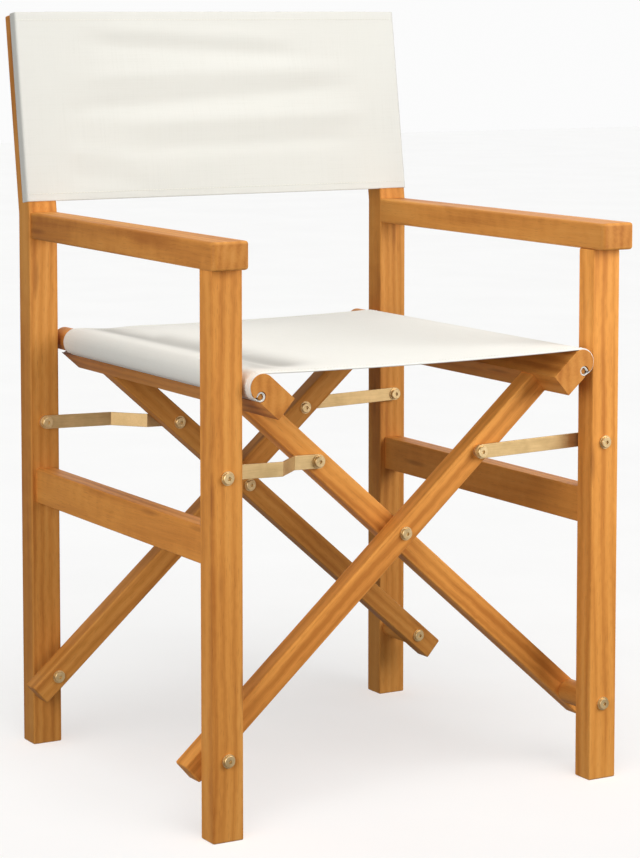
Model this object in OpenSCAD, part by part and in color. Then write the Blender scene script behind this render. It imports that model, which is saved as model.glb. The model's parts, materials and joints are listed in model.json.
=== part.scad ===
// Folding director chair: two side frames carry a front and a rear pair of crossed braces.
// The braces hold two seat rails, and a canvas seat and a canvas back are stretched between
// the rails and between the rear posts. Millimetres, +Z up, the sitter faces -Y, and the
// origin is on the floor at the middle of the chair.

/* [Side frames] */
// Width over the outer faces of the posts
frame_width = 522; // [500:1:560]
// Width of every post, from side to side
post_width = 36.6; // [32:0.2:42]
// Depth of a front post
front_post_depth = 28; // [24:0.5:34]
// Depth of a rear post
rear_post_depth = 30; // [26:0.5:36]
// Distance from the front of the front posts to the back of the rear posts
frame_depth = 490; // [460:1:520]
// Height at which the rear posts start to lean back
lean_height = 637; // [625:1:650]
// Angle of the upper part of the rear posts
lean_angle = 8.5; // [4:0.5:12]
// Length of the leaning part, along its rear face
lean_length = 236; // [220:1:250]

/* [Armrests] */
// Height of the underside of an armrest
arm_underside = 609.5; // [590:0.5:620]
// Thickness of an armrest
arm_thickness = 30.5; // [24:0.5:36]
// How far an armrest reaches in front of its front post
arm_overhang = 17; // [10:1:25]
// How far an armrest stands out past the outer face of the front post
arm_flare = 7.5; // [0:0.5:15]
// How far its outer edge stays inside the outer face of the rear post
arm_rear_inset = 2.3; // [0:0.1:5]
// Radius of the two front corners, seen from above
arm_corner = 6; // [2:0.5:12]

/* [Stretchers] */
// Height of the underside of a stretcher
stretcher_underside = 293.5; // [270:0.5:310]
// Height of a stretcher's section
stretcher_height = 41; // [30:1:50]
// Thickness of a stretcher
stretcher_thickness = 23; // [18:0.5:28]
// Inset of a stretcher from the outer face of the posts
stretcher_inset = 6.3; // [3:0.1:10]

/* [Braces] */
// Height of the lower pivots
pivot_height = 88; // [80:1:100]
// Height of the crossing pivots
cross_height = 302.2; // [290:0.2:315]
// Width of a brace, across its length
brace_width = 27; // [24:0.5:32]
// Thickness of a brace, from front to back
brace_thickness = 24; // [20:0.5:26]
// Length of a brace past its lower pivot
brace_tail = 31.5; // [25:0.5:40]
// Gap between a post and the brace next to it
post_gap = 9; // [8.8:0.1:10]
// Gap between the two crossed braces
brace_gap = 7; // [6:0.1:8]

/* [Seat rails] */
// Distance from the crossing pivot to the inner face of a rail
rail_reach = 236; // [225:1:240]
// Distance from the crossing pivot to the centre of a rail's round edge
rail_round_reach = 274; // [268:1:276]
// Thickness of a rail, which is the diameter of its round edge
rail_thickness = 29; // [28:0.5:31]
// Shift of a rail above the centre line of its braces
rail_lift = 1; // [0:0.5:2]
// Length of a rail
rail_length = 495; // [470:1:510]
// How far a rail stands out in front of the front posts
rail_overhang = 9; // [0:1:15]

/* [Canvas] */
// Thickness of the canvas
canvas_thickness = 1.5; // [1:0.1:2]
// Gap between the canvas and the wood that it lies on
canvas_gap = 0.2; // [0.1:0.1:0.3]
// Length of the seat canvas, from front to back
seat_length = 461; // [440:1:470]
// Setback of the seat canvas from the front ends of the rails
seat_setback = 2; // [0:1:10]
// Height of the lower edge of the back canvas
back_underside = 653.4; // [645:0.2:670]
// Radius of the rod in each hem of the seat
seat_rod = 3; // [2:0.1:3.4]
// Radius of the rod in each hem of the back
back_rod = 2.4; // [1.5:0.1:2.8]

/* [Straps] */
// Height of the bolts that hold the straps to the posts
strap_height = 390; // [386:0.5:394]
// Distance along a brace from the crossing pivot to the strap's bolt
strap_reach = 127.5; // [124:0.5:131]
// Width of a strap
strap_width = 16; // [14:0.5:20]
// Thickness of a strap
strap_thickness = 2.8; // [2:0.1:3]
// Length of a cranked strap's bend, along the strap
crank_length = 33; // [24:1:40]
// Length of a cranked strap's straight end, from its bend to the bolt on the brace
crank_end = 30; // [26:1:34]

/* [Fasteners] */
// Radius of a bolt's shank
shank = 3; // [2.5:0.1:3.5]
// Radius of a bolt's flat head and of a cap nut
head = 6.2; // [5.5:0.1:7]
// Thickness of a bolt's head
head_height = 3; // [2:0.1:4]
// Length of a cap nut
nut_height = 5; // [4:0.5:6]
// Radius of a washer
washer = 7.6; // [7:0.1:9]
// Thickness of the washer under a head or a nut
washer_height = 1.2; // [0.8:0.1:1.6]
// Radius of the barrel that a sleeve nut puts through its strap
barrel = 4; // [3.8:0.1:4.4]
// Radius of the wooden spacers on the right posts
spacer = 14; // [12:0.5:16]
// Radius of the wooden dowels
dowel = 4; // [3:0.5:5]

/* [Hidden] */
$fn = 48;
LEFT = -1;
RIGHT = 1;

wood_colour = [0.80, 0.50, 0.24];
canvas_colour = [0.94, 0.94, 0.91];
brass_colour = [0.86, 0.74, 0.50];

// Side-to-side places
post_outer = frame_width / 2;
post_inner = post_outer - post_width;
post_x = post_outer - post_width / 2;

// Front-to-back places: the leaning tops and the armrests' front ends are equally far from
// the middle, so the chair is centred on the origin
half_depth = (frame_depth + arm_overhang + lean_length * sin(lean_angle)) / 2;
rear_back = half_depth - lean_length * sin(lean_angle);
rear_front = rear_back - rear_post_depth;
front_front = rear_back - frame_depth;
front_back = front_front + front_post_depth;
outer_front_y = front_back + post_gap;
inner_front_y = outer_front_y + brace_thickness + brace_gap;
outer_rear_y = rear_front - post_gap - brace_thickness;
inner_rear_y = outer_rear_y - brace_gap - brace_thickness;
rail_front = front_front - rail_overhang;
seat_front = rail_front + seat_setback;

// The crossed braces
brace_angle = atan2(cross_height - pivot_height, post_x);
pivot_reach = norm([post_x, cross_height - pivot_height]);
strap_bolt_x = strap_reach * cos(brace_angle);
strap_bolt_z = cross_height + strap_reach * sin(brace_angle);

// Layers of a strap joint: a loose washer, a running gap and the strap itself
running_gap = 0.3;
post_washer = 2.6;
front_strap_y = front_back + post_washer + running_gap;
rear_strap_y = rear_front - post_washer - running_gap - strap_thickness;
front_crank_y = inner_front_y - washer_height - running_gap - strap_thickness;
rear_crank_y = inner_rear_y + brace_thickness + post_washer + running_gap;
outer_front_washer = outer_front_y - front_strap_y - strap_thickness - running_gap;
outer_rear_washer = rear_strap_y - running_gap - outer_rear_y - brace_thickness;
strap_run = norm([post_x - strap_bolt_x, strap_bolt_z - strap_height]);
strap_slope = atan2(strap_bolt_z - strap_height, post_x - strap_bolt_x);
crank_start = strap_run - crank_end - crank_length;

// Room around a shank, a barrel or a dowel in its hole, and between a bush and its brace
fit = 0.05;
bore = shank + fit;
thread_depth = nut_height - 1;
socket = 2.3;
socket_depth = 2;
dowel_length = 40;
arm_dowel_offset = 8;
stretcher_dowel_offset = 10;

// How far a joined solid reaches into its neighbour, and how far a cut reaches past a face
overlap = 0.01;
past = 1;

// Tenons of the braces in the rails
tenon_length = 18;
tenon_width = 17;
tenon_thickness = 12;

// Keyhole grooves that hold the hems: the seat's is cut through the underside of its rail, and
// the back's lies this far under the outer side of its post
seat_groove = 6;
seat_groove_break = 0.5;
seat_groove_inset = 5;
seat_groove_reach = rail_round_reach - seat_groove_inset;
seat_groove_drop = rail_thickness / 2 - rail_lift - seat_groove + seat_groove_break;
seat_slot_inner = seat_groove_reach - seat_groove / 2;
back_groove = 5;
back_groove_cover = 1.5;
back_groove_x = post_outer - back_groove - back_groove_cover;
back_groove_y = rear_post_depth / 2;
back_slot = 4;
seat_hem = 5.4;
back_hem = 4.5;
rod_recess = 1;

// The leaning part of a rear post
lean_sin = sin(lean_angle);
lean_cos = cos(lean_angle);
lean_offset = rear_post_depth * tan(lean_angle / 2);
lean_front_z = lean_height + lean_offset;
lean_front_length = lean_length + lean_offset;
back_start = (back_underside - lean_front_z) / lean_cos;
back_height = lean_front_length - back_start;

// A cylinder along Y, from y0 to y1
module rod_y(x, z, y0, y1, r) {
    translate([x, y0, z])
        rotate([-90, 0, 0])
            cylinder(h = y1 - y0, r = r);
}

// A cylinder along Z
module rod_z(x, y, z0, z1, r) {
    translate([x, y, z0])
        cylinder(h = z1 - z0, r = r);
}

// A washer or a bush along Y
module ring_y(x, z, y0, y1, r) {
    difference() {
        rod_y(x, z, y0, y1, r);
        rod_y(x, z, y0 - past, y1 + past, bore);
    }
}

// A flat-headed bolt along Y with a hexagon socket; its head's seat is at y0 and its tip at y1
module bolt(x, z, y0, y1) {
    edge = 0.6;
    rod_y(x, z, y0 - overlap, y1, shank);
    translate([x, y0 - head_height, z])
        rotate([-90, 0, 0])
            difference() {
                union() {
                    cylinder(h = edge, r1 = head - edge, r2 = head);
                    translate([0, 0, edge])
                        cylinder(h = head_height - edge, r = head);
                }
                translate([0, 0, -past])
                    cylinder(h = socket_depth + past, r = socket, $fn = 6);
            }
}

// A cap nut along Y with its seat at y0
module cap_nut(x, z, y0) {
    edge = 0.8;
    translate([x, y0, z])
        rotate([-90, 0, 0])
            difference() {
                union() {
                    cylinder(h = nut_height - edge, r = head);
                    translate([0, 0, nut_height - edge])
                        cylinder(h = edge, r1 = head, r2 = head - edge);
                }
                translate([0, 0, -past])
                    cylinder(h = thread_depth + past + fit, r = bore);
            }
}

// A bolt with its cap nut's seat at y1 needs a tip this far on
function tip(y1) = y1 + thread_depth;

// Places its child on the axis of the crossed braces that rise towards one side: X runs up
// along the brace, Z across it, and the crossing pivot is at X = 0
module along_brace(side) {
    translate([0, 0, cross_height])
        mirror([side == LEFT ? 1 : 0, 0, 0])
            rotate([0, -brace_angle, 0])
                children();
}

// Places its child on the leaning front face of a rear post: Z runs up along the face
module along_lean(side) {
    translate([0, rear_front, lean_front_z])
        rotate([-lean_angle, 0, 0])
            mirror([side == LEFT ? 1 : 0, 0, 0])
                children();
}

// ---- side frames ----

module front_post(side) {
    color(wood_colour)
        difference() {
            translate([side * post_x - post_width / 2, front_front, 0])
                cube([post_width, front_post_depth, arm_underside]);
            rod_y(side * post_x, pivot_height, front_front - past, front_back + past, bore);
            rod_y(side * post_x, strap_height, front_front - past, front_back + past, bore);
            side_dowels(side, dowel + fit);
        }
}

module rear_post(side) {
    top_back = [rear_back + lean_length * lean_sin, lean_height + lean_length * lean_cos];
    top_front = [rear_front + lean_front_length * lean_sin, lean_front_z + lean_front_length * lean_cos];
    color(wood_colour)
        difference() {
            translate([side * post_x - post_width / 2, 0, 0])
                rotate([90, 0, 90])
                    linear_extrude(height = post_width)
                        polygon([
                            [rear_front, 0],
                            [rear_back, 0],
                            [rear_back, lean_height],
                            top_back,
                            top_front,
                            [rear_front, lean_front_z]
                        ]);
            rod_y(side * post_x, pivot_height, rear_front - past, rear_back + past, bore);
            rod_y(side * post_x, strap_height, rear_front - past, rear_back + past, bore);
            side_dowels(side, dowel + fit);
            along_lean(side)
                back_hem_groove();
        }
}

// Keyhole groove in the outer side of a leaning post, from the canvas's lower edge to the top
module back_hem_groove() {
    height = back_height + past;
    translate([back_groove_x, back_groove_y, back_start])
        cylinder(h = height, r = back_groove);
    translate([back_groove_x, back_groove_y - back_slot / 2, back_start])
        cube([post_width, back_slot, height]);
}

module armrest(side) {
    length = rear_front + half_depth;
    color(wood_colour)
        difference() {
            mirror([side == LEFT ? 1 : 0, 0, 0])
                translate([0, 0, arm_underside])
                    linear_extrude(height = arm_thickness)
                        intersection() {
                            polygon([
                                [post_inner, -half_depth],
                                [post_outer + arm_flare, -half_depth],
                                [post_outer - arm_rear_inset, rear_front],
                                [post_inner, rear_front]
                            ]);
                            union() {
                                translate([post_inner + arm_corner, -half_depth + arm_corner])
                                    circle(r = arm_corner);
                                translate([post_outer + arm_flare - arm_corner, -half_depth + arm_corner])
                                    circle(r = arm_corner);
                                translate([post_inner + arm_corner, -half_depth])
                                    square([post_width + arm_flare - 2 * arm_corner, 2 * arm_corner]);
                                translate([post_inner, -half_depth + arm_corner])
                                    square([post_width + arm_flare, length - arm_corner]);
                            }
                        }
            side_dowels(side, dowel + fit);
        }
}

module stretcher(side) {
    inner = post_outer - stretcher_inset - stretcher_thickness;
    color(wood_colour)
        difference() {
            mirror([side == LEFT ? 1 : 0, 0, 0])
                translate([inner, front_back, stretcher_underside])
                    cube([stretcher_thickness, rear_front - front_back, stretcher_height]);
            side_dowels(side, dowel + fit);
        }
}

// The dowels of one side frame: two at each end of the armrest and of the stretcher
module side_dowels(side, r) {
    half = dowel_length / 2;
    arm_z = arm_underside + arm_thickness / 2;
    stretcher_x = post_outer - stretcher_inset - stretcher_thickness / 2;
    stretcher_z = stretcher_underside + stretcher_height / 2;
    front_y = front_front + front_post_depth / 2;
    for (i = [-1, 1]) {
        arm_x = side * (post_x + arm_dowel_offset * i);
        z = stretcher_z + stretcher_dowel_offset * i;
        rod_z(arm_x, front_y, arm_underside - half, arm_underside + half, r);
        rod_y(arm_x, arm_z, rear_front - half, rear_front + half, r);
        rod_y(side * stretcher_x, z, front_back - half, front_back + half, r);
        rod_y(side * stretcher_x, z, rear_front - half, rear_front + half, r);
    }
}

module dowels(side) {
    color(wood_colour)
        side_dowels(side, dowel);
}

// ---- braces and seat rails ----

// A brace rising towards one side, with its front face at y0
module brace(side, y0) {
    y1 = y0 + brace_thickness;
    color(wood_colour)
        along_brace(side)
            difference() {
                union() {
                    translate([-pivot_reach - brace_tail, y0, -brace_width / 2])
                        cube([pivot_reach + brace_tail + rail_reach, brace_thickness, brace_width]);
                    tenon(y0, 0);
                }
                for (reach = [-pivot_reach, 0, strap_reach])
                    rod_y(reach, 0, y0 - past, y1 + past, bore);
            }
}

// A tenon on a brace, or with a gap around it the mortise in its rail
module tenon(y0, gap) {
    shoulder = (brace_thickness - tenon_thickness) / 2;
    translate([rail_reach - past, y0 + shoulder - gap, -tenon_width / 2 - gap])
        cube([tenon_length + past + gap, tenon_thickness + 2 * gap, tenon_width + 2 * gap]);
}

// A seat rail on the braces whose front faces are at front_y and rear_y
module seat_rail(side, front_y, rear_y) {
    y0 = rail_front - past;
    y1 = rail_front + rail_length + past;
    slot_height = rail_thickness - seat_groove_drop - rail_lift;
    color(wood_colour)
        along_brace(side)
            difference() {
                union() {
                    translate([rail_reach, rail_front, rail_lift - rail_thickness / 2])
                        cube([rail_round_reach - rail_reach, rail_length, rail_thickness]);
                    rod_y(rail_round_reach, rail_lift, y0 + past, y1 - past, rail_thickness / 2);
                }
                tenon(front_y, fit);
                tenon(rear_y, fit);
                rod_y(seat_groove_reach, -seat_groove_drop, y0, y1, seat_groove);
                translate([seat_slot_inner, y0, rail_lift - rail_thickness])
                    cube([rail_round_reach - seat_slot_inner, y1 - y0, slot_height]);
            }
}

module wood_spacers() {
    color(wood_colour) {
        ring_y(post_x, pivot_height, front_back, inner_front_y - fit, spacer);
        ring_y(post_x, pivot_height, inner_rear_y + brace_thickness + fit, rear_front, spacer);
    }
}

// ---- pivot bolts ----

// Lower pivot bolts of one side: brace_front and brace_rear are the front faces of its braces
module pivot_bolts(side, brace_front, brace_rear) {
    color(brass_colour) {
        bolt(side * post_x, pivot_height, front_front - washer_height,
            tip(brace_front + brace_thickness + washer_height));
        bolt(side * post_x, pivot_height, brace_rear - washer_height, tip(rear_back + washer_height));
    }
}

module pivot_nuts(side, brace_front) {
    color(brass_colour) {
        cap_nut(side * post_x, pivot_height, brace_front + brace_thickness + washer_height);
        cap_nut(side * post_x, pivot_height, rear_back + washer_height);
    }
}

module pivot_bushes() {
    color(brass_colour) {
        ring_y(-post_x, pivot_height, front_back, outer_front_y - fit, washer);
        ring_y(-post_x, pivot_height, outer_rear_y + brace_thickness + fit, rear_front, washer);
    }
}

module crossing_bolts() {
    color(brass_colour) {
        bolt(0, cross_height, outer_front_y - washer_height,
            tip(inner_front_y + brace_thickness + washer_height));
        bolt(0, cross_height, inner_rear_y - washer_height,
            tip(outer_rear_y + brace_thickness + washer_height));
    }
}

module crossing_nuts() {
    color(brass_colour) {
        cap_nut(0, cross_height, inner_front_y + brace_thickness + washer_height);
        cap_nut(0, cross_height, outer_rear_y + brace_thickness + washer_height);
    }
}

module crossing_bushes() {
    color(brass_colour) {
        ring_y(0, cross_height, outer_front_y + brace_thickness, inner_front_y - fit, washer);
        ring_y(0, cross_height, inner_rear_y + brace_thickness + fit, outer_rear_y, washer);
    }
}

// ---- strap bolts ----

// The front bolt stops at the strap's face, where the strap's own sleeve nut meets it
module post_strap_bolts(side) {
    color(brass_colour) {
        bolt(side * post_x, strap_height, front_front - washer_height, front_back + post_washer);
        bolt(side * post_x, strap_height, rear_strap_y - washer_height, tip(rear_back + washer_height));
    }
}

module post_strap_nut(side) {
    color(brass_colour)
        cap_nut(side * post_x, strap_height, rear_back + washer_height);
}

// The front bolt carries the strap; the rear one stops at the face of its strap
module outer_brace_strap_bolts() {
    color(brass_colour) {
        bolt(strap_bolt_x, strap_bolt_z, front_strap_y - washer_height,
            tip(outer_front_y + brace_thickness + washer_height));
        bolt(strap_bolt_x, strap_bolt_z, outer_rear_y - washer_height,
            outer_rear_y + brace_thickness + outer_rear_washer);
    }
}

module inner_brace_strap_bolts() {
    color(brass_colour) {
        bolt(-strap_bolt_x, strap_bolt_z, front_crank_y - washer_height,
            tip(inner_front_y + brace_thickness + washer_height));
        bolt(-strap_bolt_x, strap_bolt_z, inner_rear_y - washer_height,
            inner_rear_y + brace_thickness + post_washer);
    }
}

module brace_strap_nut(side, brace_front) {
    color(brass_colour)
        cap_nut(side * strap_bolt_x, strap_bolt_z, brace_front + brace_thickness + washer_height);
}

// ---- washers ----

// A thin washer that ends at y1
module thin_washer(x, z, y1) {
    ring_y(x, z, y1 - washer_height, y1, washer);
}

module frame_washers(side, brace_front, brace_rear) {
    color(brass_colour) {
        for (z = [pivot_height, strap_height]) {
            thin_washer(side * post_x, z, front_front);
            thin_washer(side * post_x, z, rear_back + washer_height);
        }
        thin_washer(side * post_x, pivot_height, brace_front + brace_thickness + washer_height);
        thin_washer(side * post_x, pivot_height, brace_rear);
        thin_washer(side * post_x, strap_height, rear_strap_y);
        ring_y(side * post_x, strap_height, front_back, front_back + post_washer, washer);
        ring_y(side * post_x, strap_height, rear_front - post_washer, rear_front, washer);
    }
}

module outer_brace_washers() {
    color(brass_colour) {
        thin_washer(0, cross_height, outer_front_y);
        thin_washer(0, cross_height, inner_front_y + brace_thickness + washer_height);
        thin_washer(0, cross_height, inner_rear_y);
        thin_washer(0, cross_height, outer_rear_y + brace_thickness + washer_height);
        thin_washer(strap_bolt_x, strap_bolt_z, front_strap_y);
        thin_washer(strap_bolt_x, strap_bolt_z, outer_front_y + brace_thickness + washer_height);
        thin_washer(strap_bolt_x, strap_bolt_z, outer_rear_y);
        ring_y(strap_bolt_x, strap_bolt_z, outer_front_y - outer_front_washer, outer_front_y, washer);
        ring_y(strap_bolt_x, strap_bolt_z, outer_rear_y + brace_thickness,
            outer_rear_y + brace_thickness + outer_rear_washer, washer);
    }
}

module inner_brace_washers() {
    color(brass_colour) {
        thin_washer(-strap_bolt_x, strap_bolt_z, front_crank_y);
        thin_washer(-strap_bolt_x, strap_bolt_z, inner_front_y);
        thin_washer(-strap_bolt_x, strap_bolt_z, inner_front_y + brace_thickness + washer_height);
        thin_washer(-strap_bolt_x, strap_bolt_z, inner_rear_y);
        ring_y(-strap_bolt_x, strap_bolt_z, inner_rear_y + brace_thickness,
            inner_rear_y + brace_thickness + post_washer, washer);
    }
}

// ---- straps ----

// A strap from the bolt on its post, at local X = 0, to the bolt on its brace. The post end
// lies at post_y and the brace end at brace_y, and a cranked strap changes level between them
module strap(side, post_y, brace_y, post_hole, brace_hole) {
    cut = 60;
    crank_stop = crank_start + crank_length;
    color(brass_colour)
        translate([side * post_x, 0, strap_height])
            mirror([side == RIGHT ? 1 : 0, 0, 0])
                rotate([0, -strap_slope, 0])
                    difference() {
                        intersection() {
                            translate([0, 0, -cut])
                                linear_extrude(height = 2 * cut)
                                    polygon([
                                        [-cut, post_y],
                                        [crank_start, post_y],
                                        [crank_stop, brace_y],
                                        [strap_run + cut, brace_y],
                                        [strap_run + cut, brace_y + strap_thickness],
                                        [crank_stop, brace_y + strap_thickness],
                                        [crank_start, post_y + strap_thickness],
                                        [-cut, post_y + strap_thickness]
                                    ]);
                            strap_outline(post_y, brace_y);
                        }
                        rod_y(0, 0, post_y - past, post_y + strap_thickness + past, post_hole);
                        rod_y(strap_run, 0, brace_y - past, brace_y + strap_thickness + past, brace_hole);
                    }
}

// The strap's straight sides and round ends, as a solid along Y
module strap_outline(post_y, brace_y) {
    y0 = min(post_y, brace_y) - past;
    y1 = max(post_y, brace_y) + strap_thickness + past;
    rod_y(0, 0, y0, y1, strap_width / 2);
    rod_y(strap_run, 0, y0, y1, strap_width / 2);
    translate([0, y0, -strap_width / 2])
        cube([strap_run, y1 - y0, strap_width]);
}

// A flat nut behind a strap, with a barrel through it: the strap is at y0
module sleeve_nut(x, z, y0) {
    sleeve_height = head_height - running_gap;
    color(brass_colour) {
        rod_y(x, z, y0, y0 + strap_thickness + overlap, barrel);
        rod_y(x, z, y0 + strap_thickness, y0 + strap_thickness + sleeve_height, head);
    }
}

// ---- canvas ----

// Half of the seat: the flat panel, the turn round the rail's edge and the hem in its groove
module seat_canvas(side) {
    inner = rail_thickness / 2 + canvas_gap;
    outer = inner + canvas_thickness;
    top = cross_height + rail_round_reach * sin(brace_angle) + rail_lift * cos(brace_angle) + outer;
    reach = rail_round_reach * cos(brace_angle) - rail_lift * sin(brace_angle);
    color(canvas_colour)
        mirror([side == LEFT ? 1 : 0, 0, 0]) {
            translate([canvas_gap, seat_front, top - canvas_thickness])
                cube([reach - canvas_gap, seat_length, canvas_thickness]);
            along_brace(RIGHT) {
                seat_canvas_turn(inner, outer, reach);
                seat_canvas_hem(inner, outer);
            }
        }
}

// The turn starts above the centre of the rail's round edge and ends below it
module seat_canvas_turn(inner, outer, reach) {
    cut = 100;
    y0 = seat_front - past;
    y1 = seat_front + seat_length + past;
    difference() {
        rod_y(rail_round_reach, rail_lift, seat_front, seat_front + seat_length, outer);
        rod_y(rail_round_reach, rail_lift, y0, y1, inner);
        translate([rail_round_reach - cut, y0, -cut])
            cube([cut, y1 - y0, 2 * cut]);
        rotate([0, brace_angle, 0])
            translate([reach - cut, y0, 0])
                cube([cut, y1 - y0, 3 * cut]);
    }
}

// The hem passes under the edge of the groove and encloses its rod
module seat_canvas_hem(inner, outer) {
    neck = canvas_thickness;
    y1 = seat_front + seat_length;
    difference() {
        union() {
            translate([seat_groove_reach, seat_front, rail_lift - outer])
                cube([seat_groove_inset, seat_length, canvas_thickness]);
            translate([seat_groove_reach - neck, seat_front, rail_lift - outer])
                cube([2 * neck, seat_length, outer - rail_lift - seat_groove_drop]);
            rod_y(seat_groove_reach, -seat_groove_drop, seat_front, y1, seat_hem);
        }
        rod_y(seat_groove_reach, -seat_groove_drop, seat_front - past, y1 + past, seat_rod + canvas_gap);
    }
}

// The rod ends a little inside the hem
module seat_hem_rod(side) {
    y0 = seat_front + rod_recess;
    y1 = seat_front + seat_length - rod_recess;
    color(wood_colour)
        along_brace(side)
            rod_y(seat_groove_reach, -seat_groove_drop, y0, y1, seat_rod);
}

// Half of the back, from the inner edge of its post to the middle of the chair
module back_canvas(side) {
    color(canvas_colour)
        along_lean(side)
            translate([canvas_gap, -canvas_gap - canvas_thickness, back_start])
                cube([post_inner - 2 * canvas_gap, canvas_thickness, back_height]);
}

// The canvas round the front and the outer side of a leaning post, with its hem in the groove
module back_sleeve(side) {
    face = canvas_gap + canvas_thickness;
    color(canvas_colour)
        along_lean(side)
            difference() {
                union() {
                    translate([post_inner, -face, back_start])
                        cube([post_width + face, canvas_thickness, back_height]);
                    translate([post_outer + canvas_gap, -face, back_start])
                        cube([canvas_thickness, back_groove_y + face + canvas_thickness, back_height]);
                    translate([back_groove_x, back_groove_y, back_start])
                        cube([post_outer + face - back_groove_x, canvas_thickness, back_height]);
                    translate([back_groove_x, back_groove_y, back_start])
                        cylinder(h = back_height, r = back_hem);
                }
                translate([back_groove_x, back_groove_y, back_start - past])
                    cylinder(h = back_height + 2 * past, r = back_rod + canvas_gap);
            }
}

module back_hem_rod(side) {
    color(wood_colour)
        along_lean(side)
            translate([back_groove_x, back_groove_y, back_start])
                cylinder(h = back_height, r = back_rod);
}

front_post(LEFT);  // front_left_post
rear_post(LEFT);  // rear_left_post
armrest(LEFT);  // left_armrest
stretcher(LEFT);  // left_stretcher
dowels(LEFT);  // left_dowels
front_post(RIGHT);  // front_right_post
rear_post(RIGHT);  // rear_right_post
armrest(RIGHT);  // right_armrest
stretcher(RIGHT);  // right_stretcher
dowels(RIGHT);  // right_dowels
brace(RIGHT, outer_front_y);  // front_outer_brace
brace(RIGHT, outer_rear_y);  // rear_outer_brace
seat_rail(RIGHT, outer_front_y, outer_rear_y);  // right_seat_rail
brace(LEFT, inner_front_y);  // front_inner_brace
brace(LEFT, inner_rear_y);  // rear_inner_brace
seat_rail(LEFT, inner_front_y, inner_rear_y);  // left_seat_rail
pivot_bolts(LEFT, outer_front_y, outer_rear_y);  // left_pivot_bolts
pivot_nuts(LEFT, outer_front_y);  // left_pivot_nuts
pivot_bushes();  // left_pivot_bushes
pivot_bolts(RIGHT, inner_front_y, inner_rear_y);  // right_pivot_bolts
pivot_nuts(RIGHT, inner_front_y);  // right_pivot_nuts
wood_spacers();  // right_pivot_spacers
crossing_bolts();
crossing_nuts();
crossing_bushes();
post_strap_bolts(LEFT);  // left_post_strap_bolts
post_strap_nut(LEFT);  // left_post_strap_nut
post_strap_bolts(RIGHT);  // right_post_strap_bolts
post_strap_nut(RIGHT);  // right_post_strap_nut
outer_brace_strap_bolts();
brace_strap_nut(RIGHT, outer_front_y);  // outer_brace_strap_nut
inner_brace_strap_bolts();
brace_strap_nut(LEFT, inner_front_y);  // inner_brace_strap_nut
frame_washers(LEFT, outer_front_y, outer_rear_y);  // left_frame_washers
frame_washers(RIGHT, inner_front_y, inner_rear_y);  // right_frame_washers
outer_brace_washers();
inner_brace_washers();
strap(LEFT, front_strap_y, front_crank_y, barrel, bore);  // front_left_strap
strap(RIGHT, front_strap_y, front_strap_y, barrel, bore);  // front_right_strap
strap(LEFT, rear_strap_y, rear_crank_y, bore, barrel);  // rear_left_strap
strap(RIGHT, rear_strap_y, rear_strap_y, bore, barrel);  // rear_right_strap
sleeve_nut(-post_x, strap_height, front_strap_y);  // front_left_sleeve_nut
sleeve_nut(post_x, strap_height, front_strap_y);  // front_right_sleeve_nut
sleeve_nut(-strap_bolt_x, strap_bolt_z, rear_crank_y);  // rear_left_sleeve_nut
sleeve_nut(strap_bolt_x, strap_bolt_z, rear_strap_y);  // rear_right_sleeve_nut
seat_canvas(LEFT);  // seat_canvas_left
seat_canvas(RIGHT);  // seat_canvas_right
seat_hem_rod(LEFT);  // left_seat_hem_rod
seat_hem_rod(RIGHT);  // right_seat_hem_rod
back_canvas(LEFT);  // back_canvas_left
back_canvas(RIGHT);  // back_canvas_right
back_sleeve(LEFT);  // back_sleeve_left
back_sleeve(RIGHT);  // back_sleeve_right
back_hem_rod(LEFT);  // left_back_hem_rod
back_hem_rod(RIGHT);  // right_back_hem_rod
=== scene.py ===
"""Looks for the folding director chair: oiled hardwood frame, off-white canvas, brass straps and bolts.

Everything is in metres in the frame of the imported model: the sitter faces -Y and the floor is at Z = 0.
"""

import json
import math

import bmesh
import bpy
import numpy as np
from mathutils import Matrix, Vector


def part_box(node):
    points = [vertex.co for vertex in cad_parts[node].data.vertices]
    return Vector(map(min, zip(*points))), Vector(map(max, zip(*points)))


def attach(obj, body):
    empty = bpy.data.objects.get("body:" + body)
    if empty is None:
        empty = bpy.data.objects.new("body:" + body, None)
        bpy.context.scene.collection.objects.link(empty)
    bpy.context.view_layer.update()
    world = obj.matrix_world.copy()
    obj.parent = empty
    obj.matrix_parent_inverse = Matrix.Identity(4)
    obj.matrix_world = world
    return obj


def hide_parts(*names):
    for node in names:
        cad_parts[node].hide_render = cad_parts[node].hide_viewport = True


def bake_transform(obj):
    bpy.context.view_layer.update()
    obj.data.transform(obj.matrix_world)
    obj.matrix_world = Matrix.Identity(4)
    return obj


MM = 0.001

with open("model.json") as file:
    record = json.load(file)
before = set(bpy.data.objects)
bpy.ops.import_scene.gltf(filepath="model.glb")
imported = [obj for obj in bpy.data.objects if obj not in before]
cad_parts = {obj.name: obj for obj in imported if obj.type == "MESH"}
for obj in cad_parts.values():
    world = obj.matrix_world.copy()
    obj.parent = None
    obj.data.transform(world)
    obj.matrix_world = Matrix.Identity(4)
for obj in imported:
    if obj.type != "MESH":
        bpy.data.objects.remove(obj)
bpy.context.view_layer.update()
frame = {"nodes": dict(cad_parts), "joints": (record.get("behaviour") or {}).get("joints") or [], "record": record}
joints = {joint["name"]: joint for joint in frame["joints"]}
nodes_of_body = frame["record"]["behaviour"]["bodies"]
body_of_node = {node: body for body, nodes in nodes_of_body.items() for node in nodes}

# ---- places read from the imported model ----

CROSS_Z = joints["crossing"]["pos_m"][2]
PIVOT_X = -joints["fold"]["pos_m"][0]
PIVOT_Z = joints["fold"]["pos_m"][2]
BRACE_ANGLE = math.atan2(CROSS_Z - PIVOT_Z, PIVOT_X)
BRACE_COS = math.cos(BRACE_ANGLE)
BRACE_SIN = math.sin(BRACE_ANGLE)

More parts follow.
